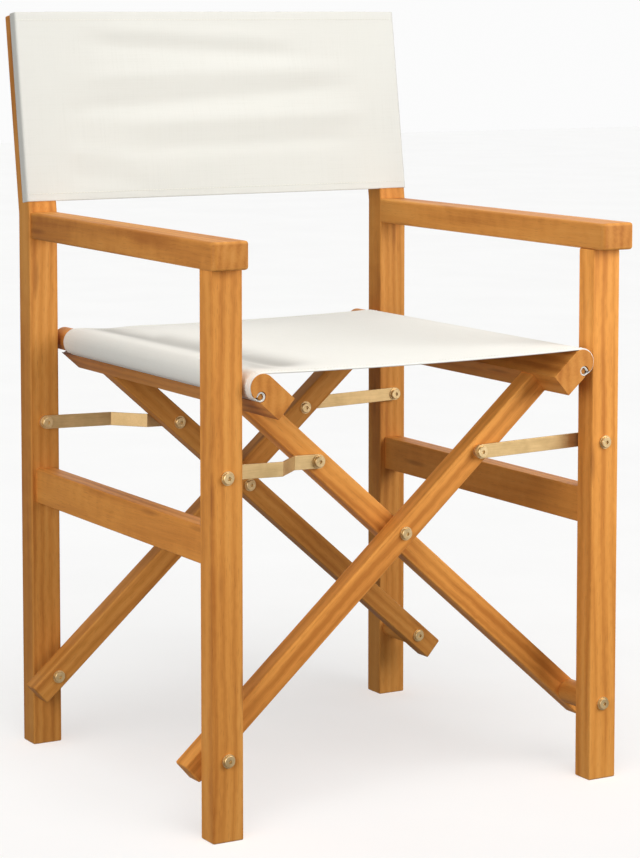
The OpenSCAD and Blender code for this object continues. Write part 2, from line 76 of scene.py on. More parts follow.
REAR_POST_LOW, REAR_POST_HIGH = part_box("rear_right_post")
POST_INNER = REAR_POST_LOW.x
POST_OUTER = REAR_POST_HIGH.x
REAR_FRONT = REAR_POST_LOW.y
FRONT_POST_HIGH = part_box("front_right_post")[1]
ARM_UNDERSIDE = FRONT_POST_HIGH.z
FRONT_BACK = FRONT_POST_HIGH.y
SEAT_LOW, SEAT_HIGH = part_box("seat_canvas_right")
BACK_LOW, BACK_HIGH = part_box("back_canvas_right")

# The leaning part of the rear posts, as in the CAD source: the bend is a mitre through the whole post
LEAN = math.radians(8.5)
LEAN_COS = math.cos(LEAN)
LEAN_SIN = math.sin(LEAN)
BEND_HEIGHT = 637 * MM
BEND_DEPTH = 30 * MM
LEAN_Z = BEND_HEIGHT + BEND_DEPTH * math.tan(LEAN / 2)
BACK_START = (BACK_LOW.z - LEAN_Z) / LEAN_COS
BACK_HEIGHT = (BACK_HIGH.z - BACK_LOW.z) / LEAN_COS


def along_brace(side, reach, across):
    """A point at y = 0 on the braces that rise to side (-1 left, 1 right); reach runs up along them."""
    x = reach * BRACE_COS - across * BRACE_SIN
    return Vector((side * x, 0, CROSS_Z + reach * BRACE_SIN + across * BRACE_COS))


def place(name, mesh, material):
    """Puts a finished mesh into the scene as a piece of one material."""
    mesh.materials.append(material)
    piece = bpy.data.objects.new(name, mesh)
    bpy.context.scene.collection.objects.link(piece)
    return piece


# ---- materials ----


class Nodes:
    """A material's node tree, with short calls for the nodes that the looks use."""

    def __init__(self, name):
        self.material = bpy.data.materials.new(name)
        self.material.use_nodes = True
        self.tree = self.material.node_tree
        self.shader = self.tree.nodes["Principled BSDF"]

    def add(self, kind, inputs=(), **settings):
        """A new node; inputs maps its sockets to values or to other nodes' outputs."""
        node = self.tree.nodes.new(kind)
        for key, value in settings.items():
            setattr(node, key, value)
        for key, value in dict(inputs).items():
            self.set(node.inputs[key], value)
        return node

    def set(self, socket, value):
        if isinstance(value, bpy.types.NodeSocket):
            self.tree.links.new(value, socket)
        else:
            socket.default_value = value

    def math(self, operation, a, b=0.0):
        return self.add("ShaderNodeMath", {0: a, 1: b}, operation=operation).outputs[0]

    def weighted(self, *terms):
        """The sum of (value, weight) pairs."""
        total = self.math("MULTIPLY", *terms[0])
        for value, weight in terms[1:]:
            total = self.math("ADD", total, self.math("MULTIPLY", value, weight))
        return total

    def scaled(self, vector, scale):
        """The vector times scale, axis by axis."""
        node = self.add("ShaderNodeVectorMath", {0: vector, 1: scale}, operation="MULTIPLY")
        return node.outputs[0]

    def noise(self, vector, scale, detail=3.0, roughness=0.55):
        inputs = {"Vector": vector, "Scale": scale, "Detail": detail, "Roughness": roughness}
        return self.add("ShaderNodeTexNoise", inputs).outputs["Fac"]

    def ramp(self, value, stops):
        """Looks value up in stops, (position, colour or grey) pairs."""
        node = self.add("ShaderNodeValToRGB", {0: value})
        elements = node.color_ramp.elements
        while len(elements) < len(stops):
            elements.new(0.5)
        for element, (position, colour) in zip(elements, stops):
            element.position = position
            element.color = (*colour, 1.0) if isinstance(colour, tuple) else (colour, colour, colour, 1.0)
        return node.outputs["Color"]

    def mix(self, factor, under, colour, blend="MIX"):
        """The colour output under with a fixed colour over it."""
        node = self.add("ShaderNodeMix", data_type="RGBA", blend_type=blend)
        self.set(node.inputs["Factor"], factor)
        self.set(node.inputs["A"], under)
        self.set(node.inputs["B"], (*colour, 1.0))
        return node.outputs["Result"]

    def bump(self, height, strength, distance):
        """Gives the shader a relief; distance is its depth in metres."""
        inputs = {"Height": height, "Strength": strength, "Distance": distance}
        self.set(self.shader.inputs["Normal"], self.add("ShaderNodeBump", inputs).outputs["Normal"])

    def finish(self, **sockets):
        """Sets the shader's sockets, written with _ for a space, and returns the material."""
        for name, value in sockets.items():
            self.set(self.shader.inputs[name.replace("_", " ")], value)
        return self.material


WOOD_DARK = (0.46, 0.160, 0.028)
WOOD_MIDDLE = (0.66, 0.270, 0.054)
WOOD_LIGHT = (0.78, 0.365, 0.088)
WOOD_PORE = (0.26, 0.080, 0.016)
WOOD_ROUGHNESS = 0.46
WOOD_SHEEN = 0.14
FIBRE_DRIFT = 20 * MM
SEED_STEP = (0.37, 0.113, 0.071)
RING_WEIGHT = 0.14
BAND_WEIGHT = 0.62
STREAK_WEIGHT = 0.24
PORE_SHARE = 0.26
FLECK_SHARE = 0.55
END_GRAIN_SHARE = 0.25
WORN_SHARE = 0.40


def wood(name, grain, seed, tone=1.0):
    """Oiled hardwood whose grain runs along the vector grain. The seed shifts the figure from board to
    board, and tone makes a board lighter or darker."""
    n = Nodes(name)
    coords = n.add("ShaderNodeTexCoord")
    turn = Vector((1, 0, 0)).rotation_difference(Vector(grain)).to_euler()
    mapping = {"Vector": coords.outputs["Object"], "Rotation": turn, "Location": Vector(SEED_STEP) * seed}
    board = n.add("ShaderNodeMapping", mapping, vector_type="TEXTURE").outputs["Vector"]

    # Slow wandering of the fibres, so that no streak is quite straight
    inputs = {"Vector": n.scaled(board, (2.6, 9.0, 9.0)), "Scale": 1.0, "Detail": 1.5}
    drift = n.add("ShaderNodeTexNoise", inputs).outputs["Color"]
    offset = n.scaled(drift, (0.0, FIBRE_DRIFT, FIBRE_DRIFT))
    fibres = n.add("ShaderNodeVectorMath", {0: board, 1: offset}, operation="ADD").outputs[0]

    inputs = {"Vector": n.scaled(fibres, (1.6, 1.0, 1.0)), "Scale": 30.0, "Distortion": 1.6,
              "Detail": 2.0, "Detail Scale": 1.2}
    rings = n.add("ShaderNodeTexWave", inputs, wave_type="RINGS", rings_direction="X",
                  wave_profile="SIN").outputs["Fac"]
    bands = n.noise(n.scaled(fibres, (2.2, 34.0, 34.0)), 1.0, 2.0)
    streaks = n.noise(n.scaled(fibres, (7.0, 330.0, 330.0)), 1.0, 3.0, 0.6)
    figure = n.weighted((rings, RING_WEIGHT), (bands, BAND_WEIGHT), (streaks, STREAK_WEIGHT))
    colour = n.ramp(figure, [(0.32, WOOD_DARK), (0.52, WOOD_MIDDLE), (0.76, WOOD_LIGHT)])

    # Open pores: short dark dashes along the grain
    dashes = n.noise(n.scaled(fibres, (70.0, 1500.0, 1500.0)), 1.0, 1.0)
    pores = n.ramp(dashes, [(0.60, 0.0), (0.70, 1.0)])
    colour = n.mix(n.math("MULTIPLY", pores, PORE_SHARE), colour, WOOD_PORE)

    # A few small mineral flecks, drawn out along the grain
    inputs = {"Vector": n.scaled(fibres, (5.5, 36.0, 36.0)), "Scale": 1.0}
    cells = n.add("ShaderNodeTexVoronoi", inputs).outputs["Distance"]
    fleck = n.ramp(cells, [(0.05, 1.0), (0.17, 0.0)])
    colour = n.mix(n.math("MULTIPLY", fleck, FLECK_SHARE), colour, WOOD_PORE)

    # End grain drinks more oil; the eased edges are rubbed a little lighter
    inputs = {0: coords.outputs["Normal"], 1: Vector(grain)}
    facing = n.add("ShaderNodeVectorMath", inputs, operation="DOT_PRODUCT").outputs["Value"]
    ends = n.ramp(n.math("ABSOLUTE", facing), [(0.75, 0.0), (0.95, 1.0)])
    colour = n.mix(n.math("MULTIPLY", ends, END_GRAIN_SHARE), colour, WOOD_DARK)
    edge = n.add("ShaderNodeAttribute", attribute_name="edge").outputs["Fac"]
    wear = n.math("MULTIPLY", edge, n.noise(n.scaled(board, (22.0, 22.0, 22.0)), 1.0, 2.0))
    colour = n.mix(n.math("MULTIPLY", wear, WORN_SHARE), colour, WOOD_LIGHT)
    colour = n.mix(1.0, colour, (tone, tone, tone), "MULTIPLY")

    height = n.math("SUBTRACT", n.math("MULTIPLY", streaks, 0.5), n.math("MULTIPLY", pores, 0.6))
    n.bump(height, 0.28, 0.4 * MM)
    roughness = n.math("ADD", n.math("MULTIPLY", streaks, 0.16), WOOD_ROUGHNESS)
    return n.finish(Base_Color=colour, Roughness=roughness, Specular_IOR_Level=WOOD_SHEEN)


CANVAS_TONE = (0.835, 0.825, 0.765)
CANVAS_DARK = (0.790, 0.778, 0.715)
# Painted shade: the cloth's colour is multiplied by this along the seat's crease
CREASE_SHADE_COLOUR = (0.54, 0.536, 0.526)
THREAD_PITCH = 1.1 * MM


def canvas(name, tone):
    """Plain-weave cotton canvas, lighter or darker by tone; the UVs are metres along the cloth."""
    n = Nodes(name)
    uv = n.add("ShaderNodeTexCoord").outputs["UV"]
    threads = 1 / THREAD_PITCH
    inputs = {"Vector": uv, "Scale": threads, "Color1": (1, 1, 1, 1), "Color2": (0, 0, 0, 1)}
    cells = n.add("ShaderNodeTexChecker", inputs).outputs["Fac"]
    turns = n.scaled(uv, (math.pi * threads, math.pi * threads, 0))
    parts = n.add("ShaderNodeSeparateXYZ", {"Vector": turns})
    warp = n.math("ABSOLUTE", n.math("SINE", parts.outputs["X"]))
    weft = n.math("ABSOLUTE", n.math("SINE", parts.outputs["Y"]))
    over = n.math("MULTIPLY", warp, cells)
    under = n.math("MULTIPLY", weft, n.math("SUBTRACT", 1.0, cells))
    weave = n.math("ADD", over, under)
    slub_u = n.noise(n.scaled(uv, (14.0, 620.0, 0.0)), 1.0, 2.0)
    slub_v = n.noise(n.scaled(uv, (620.0, 14.0, 0.0)), 1.0, 2.0)
    slubs = n.math("MULTIPLY", n.math("ADD", slub_u, slub_v), 0.5)
    cloud = n.noise(n.scaled(uv, (9.0, 9.0, 0.0)), 1.0, 3.0)
    figure = n.weighted((slubs, 0.75), (cloud, 0.25), (weave, 0.12))
    colour = n.ramp(figure, [(0.36, CANVAS_DARK), (0.58, CANVAS_TONE)])
    colour = n.mix(1.0, colour, (tone, tone, tone), "MULTIPLY")
    # Painted shade: the colour is darkened along the crease beside the seat's left rail, where the mesh's crease
    # attribute is set
    crease = n.add("ShaderNodeAttribute", attribute_name="crease").outputs["Fac"]
    colour = n.mix(crease, colour, CREASE_SHADE_COLOUR, "MULTIPLY")
    n.bump(n.math("ADD", weave, n.math("MULTIPLY", slubs, 0.8)), 0.35, 0.22 * MM)
    return n.finish(Base_Color=colour, Roughness=0.86, Specular_IOR_Level=0.25,
                    Sheen_Weight=0.12, Sheen_Roughness=0.5)


def thread(name):
    """Twisted sewing thread, a little warmer than the cloth."""
    n = Nodes(name)
    twist = n.noise(n.add("ShaderNodeTexCoord").outputs["Object"], 2400.0, 1.0)
    colour = n.ramp(twist, [(0.30, (0.66, 0.63, 0.54)), (0.70, (0.86, 0.84, 0.76))])
    n.bump(twist, 0.3, 0.1 * MM)
    return n.finish(Base_Color=colour, Roughness=0.75)


METALLIC = 0.95
BRUSHED = (40.0, 900.0, 900.0)
TURNED = (500.0, 500.0, 500.0)


def metal(name, dark, light, stretch, roughness):
    """Brass under a thin lacquer: fine scratches, drawn out by stretch, and a duller film in patches."""
    n = Nodes(name)
    coords = n.add("ShaderNodeTexCoord").outputs["Object"]
    scratches = n.noise(n.scaled(coords, stretch), 1.0, 3.0, 0.7)
    film = n.noise(coords, 60.0, 3.0)
    colour = n.ramp(n.weighted((scratches, 0.4), (film, 0.6)), [(0.34, dark), (0.66, light)])
    n.bump(scratches, 0.12, 0.1 * MM)
    rough = n.math("ADD", n.math("MULTIPLY", film, 0.18), roughness)
    return n.finish(Base_Color=colour, Metallic=METALLIC, Roughness=rough)


strap_brass = metal("strap_brass", (0.53, 0.365, 0.165), (0.71, 0.510, 0.255), BRUSHED, 0.46)
turned_brass = metal("turned_brass", (0.58, 0.40, 0.19), (0.84, 0.63, 0.34), TURNED, 0.36)
# The seat and the back are one canvas; the difference between their tones is painted light and shade
seat_cloth = canvas("seat_cloth", 0.96)
back_cloth = canvas("back_cloth", 0.80)
sewing_thread = thread("sewing_thread")


# ---- wooden pieces and straps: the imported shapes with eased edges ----

WELD = 0.01 * MM
FLAT = math.radians(1)
OFF_FLAT = math.radians(5)
SHARP = math.radians(30)
STILL_SHARP = 1.2 * SHARP
LONG_OUTLINE = 20 * MM


def outlines(edges):
    """Groups of edges that share vertices."""
    left = set(edges)
    while left:
        group, queue = [], [left.pop()]
        while queue:
            edge = queue.pop()
            group.append(edge)
            for vert in edge.verts:
                for other in vert.link_edges:
                    if other in left:
                        left.remove(other)
                        queue.append(other)
        yield group


def span(group):
    """The diagonal of the box round a group of edges."""
    points = [vert.co for edge in group for vert in edge.verts]
    low = Vector(map(min, zip(*points)))
    high = Vector(map(max, zip(*points)))
    return (high - low).length


def eased(node, suffix, radius, material, keep_sharp=lambda a, b: False):
    """A copy of a CAD node with rounded outer edges; the small rings of its bolt holes stay as they are."""
    bm = bmesh.new()
    bm.from_mesh(frame["nodes"][node].data)
    layer = bm.faces.layers.float.new("edge")
    bmesh.ops.remove_doubles(bm, verts=bm.verts, dist=WELD)
    bmesh.ops.dissolve_limit(bm, angle_limit=FLAT, verts=bm.verts, edges=bm.edges)
    bm.normal_update()
    flats = np.array([face.normal for face in bm.faces])
    sharp = [edge for edge in bm.edges if edge.is_manifold and edge.calc_face_angle() > SHARP]
    chosen = [edge for group in outlines(sharp) if span(group) > LONG_OUTLINE
              for edge in group if not keep_sharp(edge.verts[0].co, edge.verts[1].co)]
    bmesh.ops.bevel(bm, geom=chosen, offset=radius, offset_type="OFFSET", segments=3, profile=0.5,
                    affect="EDGES", clamp_overlap=True)
    bm.normal_update()
    for face in bm.faces:
        face.smooth = True
        face[layer] = float(np.max(flats @ np.array(face.normal)) < math.cos(OFF_FLAT))
    for edge in bm.edges:
        edge.smooth = not edge.is_manifold or edge.calc_face_angle() < STILL_SHARP
    mesh = bpy.data.meshes.new(node + suffix)
    bm.to_mesh(mesh)
    bm.free()
    piece = place(node + suffix, mesh, material)
    normals = piece.modifiers.new("normals", "WEIGHTED_NORMAL")
    normals.keep_sharp = True
    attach(piece, body_of_node[node])
    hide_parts(node)


GROOVE_REACH = 269 * MM
GROOVE_DROP = -8 * MM
GROOVE_CLEAR = 7.5 * MM
BACK_GROOVE_X = POST_OUTER - 6.5 * MM
BACK_GROOVE_BEHIND = 15 * MM
SHOULDER_REACH = (236 - 1.2) * MM
NEAR = 0.2 * MM


def near_seat_groove(side):
    """A test for edges along the keyhole groove of a seat rail."""
    centre = along_brace(side, GROOVE_REACH, GROOVE_DROP)

    def test(a, b):
        middle = (a + b) / 2
        return math.hypot(middle.x - centre.x, middle.z - centre.z) < GROOVE_CLEAR
    return test


def near_back_groove(a, b):
    """True for edges along the keyhole groove of a rear post."""
    middle = (a + b) / 2
    behind = (middle.y - REAR_FRONT) * LEAN_COS - (middle.z - LEAN_Z) * LEAN_SIN
    distance = math.hypot(abs(middle.x) - BACK_GROOVE_X, behind - BACK_GROOVE_BEHIND)
    return middle.z > LEAN_Z and distance < GROOVE_CLEAR


def at_either_post(a, b):
    """True for the end edges of a stretcher, where it meets the posts."""
    ahead = max(a.y, b.y) < FRONT_BACK + NEAR
    behind = min(a.y, b.y) > REAR_FRONT - NEAR
    return ahead or behind


def jointed(test):
    """A test for edges that have both ends in a joint with another board."""
    return lambda a, b: test(a) and test(b)


def at_shoulder(side):
    """A test for edges at or past the joint between a brace and its rail."""
    def inside(point):
        return side * point.x * BRACE_COS + (point.z - CROSS_Z) * BRACE_SIN > SHOULDER_REACH
    return jointed(inside)


POST_EDGE = 1.8 * MM
BRACE_EDGE = 2.2 * MM
ARM_EDGE = 3.2 * MM
RAIL_EDGE = 1.2 * MM
STRAP_EDGE = 0.5 * MM
SPACER_EDGE = 0.8 * MM

# Each board has a tone of its own: the front posts and braces are lighter than the rear ones
TONES = {
    "front_left_post": 1.09, "rear_left_post": 0.94, "left_armrest": 0.93, "left_stretcher": 1.14,
    "front_right_post": 1.22, "rear_right_post": 0.90, "right_armrest": 0.92, "right_stretcher": 1.08,
    "front_outer_brace": 1.26, "rear_outer_brace": 0.98,
    "front_inner_brace": 1.24, "rear_inner_brace": 0.82,
    "left_seat_rail": 1.0, "right_seat_rail": 1.0,
}

UPRIGHT = (0, 0, 1)
LENGTHWAYS = (0, 1, 0)


def timber(node, radius, grain, seed, keep_sharp):
    """A board in place of its CAD node, in wood of its own; every seed gives another figure."""
    material = wood(f"wood_{node}", grain, seed, TONES[node])
    eased(node, "_timber", radius, material, keep_sharp)


under_armrest = jointed(lambda point: point.z > ARM_UNDERSIDE - NEAR)
at_rear_post = jointed(lambda point: point.y > REAR_FRONT - NEAR)
for side, word, seed in ((-1, "left", 1), (1, "right", 2)):
    timber(f"front_{word}_post", POST_EDGE, UPRIGHT, seed, under_armrest)
    timber(f"rear_{word}_post", POST_EDGE, UPRIGHT, seed + 2, near_back_groove)
    timber(f"{word}_armrest", ARM_EDGE, LENGTHWAYS, seed + 4, at_rear_post)
    timber(f"{word}_stretcher", POST_EDGE, LENGTHWAYS, seed + 6, at_either_post)
    timber(f"{word}_seat_rail", RAIL_EDGE, LENGTHWAYS, seed + 8, near_seat_groove(side))
for side, word, seed in ((-1, "inner", 11), (1, "outer", 29)):
    grain = (side * BRACE_COS, 0, BRACE_SIN)
    timber(f"front_{word}_brace", BRACE_EDGE, grain, seed, at_shoulder(side))
    timber(f"rear_{word}_brace", BRACE_EDGE, grain, seed + 9, at_shoulder(side))
spacer_wood = wood("wood_spacers", LENGTHWAYS, 31)
eased("right_pivot_spacers", "_turned", SPACER_EDGE, spacer_wood)
for node in ("front_left_strap", "front_right_strap", "rear_left_strap", "rear_right_strap"):
    eased(node, "_brushed", STRAP_EDGE, strap_brass)

# ---- carried-over CAD nodes: bolts, nuts, washers, bushes, rods and dowels ----

dowel_wood = wood("wood_dowels", LENGTHWAYS, 40)
rod_wood = wood("wood_hem_rods", LENGTHWAYS, 43, 0.8)
for node, piece in frame["nodes"].items():
    if "dowels" in node:
        finish = dowel_wood
    elif "hem_rod" in node:
        finish = rod_wood
    else:
        finish = turned_brass
    piece.data.materials.clear()
    piece.data.materials.append(finish)


# ---- canvas ----

CLOTH = 1.2 * MM
HEM = 11 * MM
HEM_EXTRA = 0.8 * MM
HEM_EASE = 1.2 * MM
# Cloth that a hem needs beyond the path of the sheet, to close its loop
RIM_STEPS = 3
# The share of its length over which a fold fades out at each end
FOLD_FADE = 0.3
STITCH_PITCH = 4.0 * MM
STITCH_LENGTH = 2.9 * MM
STITCH_RADIUS = 0.34 * MM
STITCH_INSET = 8.5 * MM
STITCH_SIDES = 6
# How far a stitch rises in its middle and how deep it sits in the cloth, as shares of its radius
STITCH_RISE = 0.9
STITCH_DEPTH = 0.35
# The swelling of a stitch: share of its length and of its radius
STITCH_PROFILE = ((0.0, 0.25), (0.18, 0.85), (0.5, 1.0), (0.82, 0.85), (1.0, 0.25))


def smooth(value):
    """An S-shaped ramp from 0 to 1."""
    value = np.clip(value, 0, 1)
    return value * value * (3 - 2 * value)


def fold(x, y, start, end, width, height):
    """A soft ridge (or, if height is below 0, a hollow) along the line from start to end."""
    ax, ay = start
    dx, dy = end[0] - ax, end[1] - ay
    length = math.hypot(dx, dy)
    along = ((x - ax) * dx + (y - ay) * dy) / length
    across = ((y - ay) * dx - (x - ax) * dy) / length
    fade = FOLD_FADE * length
    taper = smooth(along / fade + 0.5) * smooth((length - along) / fade + 0.5)
    return height * np.exp(-(across / width) ** 2) * taper


def spaced(start, end, step):
    """Numbers from start to end, about a step apart."""
    return list(np.linspace(start, end, max(2, int(round(abs(end - start) / step)) + 1)))


def arc(centre, radius, start, end, step):
    """Points round centre from angle start to end, in degrees."""
    count = max(2, int(abs(math.radians(end - start)) * radius / step) + 1)
    return [(centre[0] + radius * math.cos(math.radians(a)), centre[1] + radius * math.sin(math.radians(a)))
            for a in np.linspace(start, end, count)]


def eased_path(points):
    """Rounds the small kinks where straight runs meet arcs; the ends stay."""
    path = np.array(points, float)
    path[1:-1] = 0.25 * path[:-2] + 0.5 * path[1:-1] + 0.25 * path[2:]
    return path


def across_cloth(values, columns):
    """Repeats one value for each row over all columns."""
    return np.repeat(values[:, None], len(columns), 1)


def cloth_mesh(name, middle, normals, axis, under, uv, material):
    """A closed sheet round a grid of middle points, (rows, columns, 3), with a rounded rim at both ends of
    the columns. axis points from the first rim to the last, under is the extra thickness below, in metres,
    and uv holds each grid point's own coordinates on the cloth."""
    rows, columns = middle.shape[:2]
    half = CLOTH / 2
    top = middle + normals * half
    bottom = middle - normals * (half + under[..., None])
    rings = [top]
    coords = [uv]
    for end, rim in ((-1, axis), (0, -axis)):
        centre = (top[:, end] + bottom[:, end]) / 2
        radius = np.linalg.norm(top[:, end] - bottom[:, end], axis=1)[:, None] / 2
        angles = np.linspace(0, math.pi, RIM_STEPS + 2)[1:-1]
        if end == 0:
            angles = angles[::-1]
        curve = [centre + radius * (math.cos(a) * normals[:, end] + math.sin(a) * rim) for a in angles]
        curve = np.stack(curve, 1)
        edge_uv = np.repeat(uv[:, end][:, None], RIM_STEPS, 1)
        if end == -1:
            rings += [curve, bottom[:, ::-1]]
            coords += [edge_uv, uv[:, ::-1]]
        else:
            rings.append(curve)
            coords.append(edge_uv)
    points = np.concatenate(rings, 1)
    uvs = np.concatenate(coords, 1)
    around = points.shape[1]
    faces = []
    for i in range(rows - 1):
        for k in range(around):
            faces.append((i * around + k, i * around + (k + 1) % around,
                          (i + 1) * around + (k + 1) % around, (i + 1) * around + k))
    body_faces = len(faces)
    for i, flip in ((0, True), (rows - 1, False)):
        base = i * around
        for j in range(columns - 1):
            low = columns + RIM_STEPS + columns - 1 - j
            quad = (base + j, base + j + 1, base + low - 1, base + low)
            faces.append(quad[::-1] if flip else quad)
        for first, count in ((columns - 1, RIM_STEPS + 2), (2 * columns + RIM_STEPS - 1, RIM_STEPS + 2)):
            cap = tuple(base + (first + k) % around for k in range(count))
            faces.append(cap[::-1] if flip else cap)

    mesh = bpy.data.meshes.new(name)
    mesh.from_pydata(points.reshape(-1, 3).tolist(), [], faces)
    layer = mesh.uv_layers.new(name="cloth")
    flat = uvs.reshape(-1, 2)
    for loop in mesh.loops:
        layer.data[loop.index].uv = flat[loop.vertex_index]
    for polygon in mesh.polygons:
        polygon.use_smooth = polygon.index < body_faces
    bm = bmesh.new()
    bm.from_mesh(mesh)
    bmesh.ops.recalc_face_normals(bm, faces=bm.faces)
    for edge in bm.edges:
        edge.smooth = edge.is_manifold and edge.link_faces[0].smooth == edge.link_faces[1].smooth
    bm.to_mesh(mesh)
    bm.free()
    return place(name, mesh, material)


def normals_of(middle, row, outwards):
    """Unit normals of a grid of points, turned so that they point outwards in the given row."""
    along = np.gradient(middle, axis=0)
    across = np.gradient(middle, axis=1)
    normal = np.cross(along, across)
    normal /= np.linalg.norm(normal, axis=2, keepdims=True)
    centre = middle.shape[1] // 2
    return normal if normal[row, centre] @ outwards > 0 else -normal


def path_length(path):
    """Distance of each point from the first one, along the path."""
    return np.concatenate([[0], np.cumsum(np.linalg.norm(np.diff(path, axis=0), axis=1))])


def hem_depth(distance):
    """Extra thickness of the folded hem at a distance from the cloth's edge."""
    return HEM_EXTRA * (1 - smooth((distance - HEM + HEM_EASE) / HEM_EASE))


def along_line(lengths, vectors, distance):
    """The vector at a distance along a line, between those of its points."""
    return np.array([np.interp(distance, lengths, vectors[:, c]) for c in range(3)])


def one_stitch(at, up):
    """The rings of points of one stitch; at holds the centre of each ring."""
    direction = at[-1] - at[0]
    side = np.cross(direction / np.linalg.norm(direction), up)
    ring_points = []
    for (share, width), point in zip(STITCH_PROFILE, at):
        lift = point + up * STITCH_RADIUS * (STITCH_RISE * math.sin(math.pi * share) - STITCH_DEPTH)
        for s in range(STITCH_SIDES):
            angle = 2 * math.pi * s / STITCH_SIDES
            reach = math.cos(angle) * side + math.sin(angle) * up
            ring_points.append(tuple(lift + STITCH_RADIUS * width * reach))
    return ring_points


def stitch_faces(base):
    """The faces of one stitch whose points start at base: its sides, then its two ends."""
    faces = []
    last = len(STITCH_PROFILE) - 1
    for ring in range(last):
        low = base + ring * STITCH_SIDES
        for s in range(STITCH_SIDES):
            a, b = low + s, low + (s + 1) % STITCH_SIDES
            faces.append((a, b, b + STITCH_SIDES, a + STITCH_SIDES))
    faces.append(tuple(base + s for s in reversed(range(STITCH_SIDES))))
    faces.append(tuple(base + last * STITCH_SIDES + s for s in range(STITCH_SIDES)))
    return faces


def stitches(name, lines, start, end):
    """Rows of stitches laid along their cloth: lines is a list of (points, normals)."""
    verts, faces = [], []
    for points, normals in lines:
        lengths = path_length(points)
        count = int(lengths[-1] / STITCH_PITCH)
        for k in range(count):
            low = (k + 0.5) * lengths[-1] / count - STITCH_LENGTH / 2
            at = [along_line(lengths, points, low + share * STITCH_LENGTH) for share, _ in STITCH_PROFILE]
            up = along_line(lengths, normals, low + STITCH_LENGTH / 2)
            faces += stitch_faces(len(verts))
            verts += one_stitch(at, up / np.linalg.norm(up))
    mesh = bpy.data.meshes.new(name)
    mesh.from_pydata(verts, [], faces)
    mesh.polygons.foreach_set("use_smooth", [True] * len(mesh.polygons))
    bm = bmesh.new()
    bm.from_mesh(mesh)
    bmesh.ops.recalc_face_normals(bm, faces=bm.faces)
    bm.to_mesh(mesh)
    bm.free()
    piece = place(name, mesh, sewing_thread)
    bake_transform(piece)
    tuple(start)
    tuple(end)
    return piece


def hem_lines(middle, normals, columns, visible):
    """The two lines of stitches on the outside of the cloth, one along each turned-in edge."""
    lines = []
    for place_across in (columns[0] + STITCH_INSET, columns[-1] - STITCH_INSET):
        column = int(np.argmin(np.abs(columns - place_across)))
        outer = middle[:, column] + normals[:, column] * CLOTH / 2
        lines.append((outer[visible], normals[:, column][visible]))
    return lines


# The first columns' distances from the cloth's edge: close together where the turned-in edge ends
EDGE_COLUMNS = np.array((0, 0.6, 2, 4, 6, 8, 9, 9.6, 10.2, 10.8, 11.4, 13)) * MM


def columns_between(low, high, step):
    """Places across the cloth, closer together at its two turned-in edges."""
    inner = spaced(low + EDGE_COLUMNS[-1], high - EDGE_COLUMNS[-1], step)
    return np.concatenate([low + EDGE_COLUMNS[:-1], inner, high - EDGE_COLUMNS[-2::-1]])


# The seat: one sheet from the groove of the left rail, over both rails, to the groove of the right one
ROUND_REACH = 274 * MM
RAIL_LIFT = 1 * MM
WRAP = 14.7 * MM + CLOTH / 2
LOOP = 5.1 * MM
LOOP_LENGTH = 22 * MM
LOOP_EXTRA = 0.9 * MM
SEAT_SAG = 2.5 * MM
SEAT_SETTLE = 22 * MM
# Distances from the free end: the stitches start past the first, the turned-in edge past the second
SEAT_STITCHED = 30 * MM
SEAT_TURNED_IN = 36 * MM
TURNED_IN_EASE = 4 * MM
LOOP_EASE = 3 * MM
SEAT_STEP = 6 * MM
# The painted shade of the crease reaches this far below the top of the seat
CREASE_SHADE_DEPTH = 12 * MM
# The direction straight up, seen from a brace
VERTICAL = 90 - math.degrees(BRACE_ANGLE)
# The free end inside the loop, and the neck through which the loop leaves its groove
SEAT_FREE_END = [(273.3 * MM, -11.2 * MM), (273.6 * MM, -8.6 * MM)]
SEAT_LOOP_TURN = (30, 280)
SEAT_NECK = (271.6 * MM, -13.7 * MM)


def seat_section():
    """Half of the seat's section as (x, z), from the free end in the right rail's groove to the middle."""
    groove = (GROOVE_REACH, GROOVE_DROP)
    centre = (ROUND_REACH, RAIL_LIFT)
    local = SEAT_FREE_END + arc(groove, LOOP, *SEAT_LOOP_TURN, 1.2 * MM)
    local += [SEAT_NECK] + arc(centre, WRAP, -90, VERTICAL, 1.4 * MM)
    section = []
    for reach, across in local:
        point = along_brace(1, reach, across)
        section.append((point.x, point.z))
    edge_x, top_z = section[-1]
    section += [(x, top_z) for x in spaced(edge_x - 1.5 * MM, 0, SEAT_STEP)]
    return eased_path(section)


# Soft folds in the seat, by x and y: start, end, half width and height, a hollow where it is below 0
SEAT_FOLDS = (
    ((-0.164, 0.196), (-0.152, -0.215), 0.022, -3.2 * MM),
    ((-0.118, 0.196), (-0.104, -0.215), 0.022, 0.9 * MM),
    ((0.160, 0.190), (0.185, -0.150), 0.018, 0.6 * MM),
    ((0.060, -0.225), (0.190, -0.160), 0.022, 0.5 * MM),
)
# Painted shade along the crease beside the left rail: start, end, half width and depth of tone
SEAT_CREASE_SHADES = (
    ((-0.172, 0.205), (-0.160, 0.060), 0.018, 0.9),
    ((-0.162, 0.110), (-0.152, -0.110), 0.027, 0.9),
    ((-0.152, -0.090), (-0.146, -0.215), 0.023, 0.9),
    ((-0.168, -0.130), (-0.186, -0.232), 0.018, 0.6),
)


def paint_crease_shade(mesh, lowest):
    """Stores how much painted shade each point of the seat above lowest gets along the crease, for the canvas
    material.
    """
    places = np.empty(3 * len(mesh.vertices))
    mesh.vertices.foreach_get("co", places)
    x, y, z = places.reshape(-1, 3).T
    grey = np.max([fold(x, y, *crease) for crease in SEAT_CREASE_SHADES], axis=0)
    tones = mesh.attributes.new("crease", "FLOAT", "POINT")
    tones.data.foreach_set("value", np.where(z > lowest, grey, 0))


